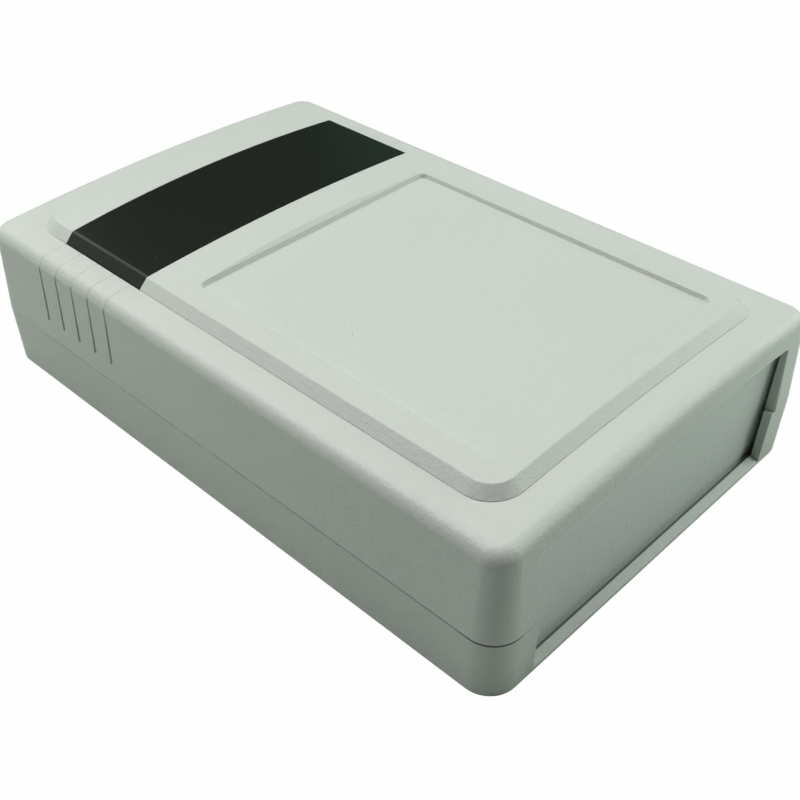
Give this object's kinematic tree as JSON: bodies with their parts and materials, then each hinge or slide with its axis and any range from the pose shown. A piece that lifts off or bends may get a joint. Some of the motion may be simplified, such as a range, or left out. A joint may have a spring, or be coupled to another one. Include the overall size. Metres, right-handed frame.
{
  "type": "wall-mount display enclosure",
  "caption": "Light grey plastic project enclosure with a raised face, a label recess, a dark display window, side grooves and a recessed end panel.",
  "frame": {"origin": "middle of the back face, on the surface that the enclosure lies on", "axes": "+Z out of the back face towards the display face, +Y along the length towards the display window, +X across the width"},
  "size_m": [0.1, 0.155, 0.038],
  "materials": {
    "case_plastic": "satin, fine spark-eroded texture, light warm grey",
    "panel_plastic": "satin, light grey, slightly scuffed",
    "window_plastic": "satin black",
    "screw_steel": "zinc-plated"
  },
  "bodies": {
    "root": {"front_shell": "case_plastic", "rear_shell": "case_plastic", "display_window": "window_plastic", "end_panel": "panel_plastic", "case_screws": "screw_steel"}
  },
  "joints": []
}
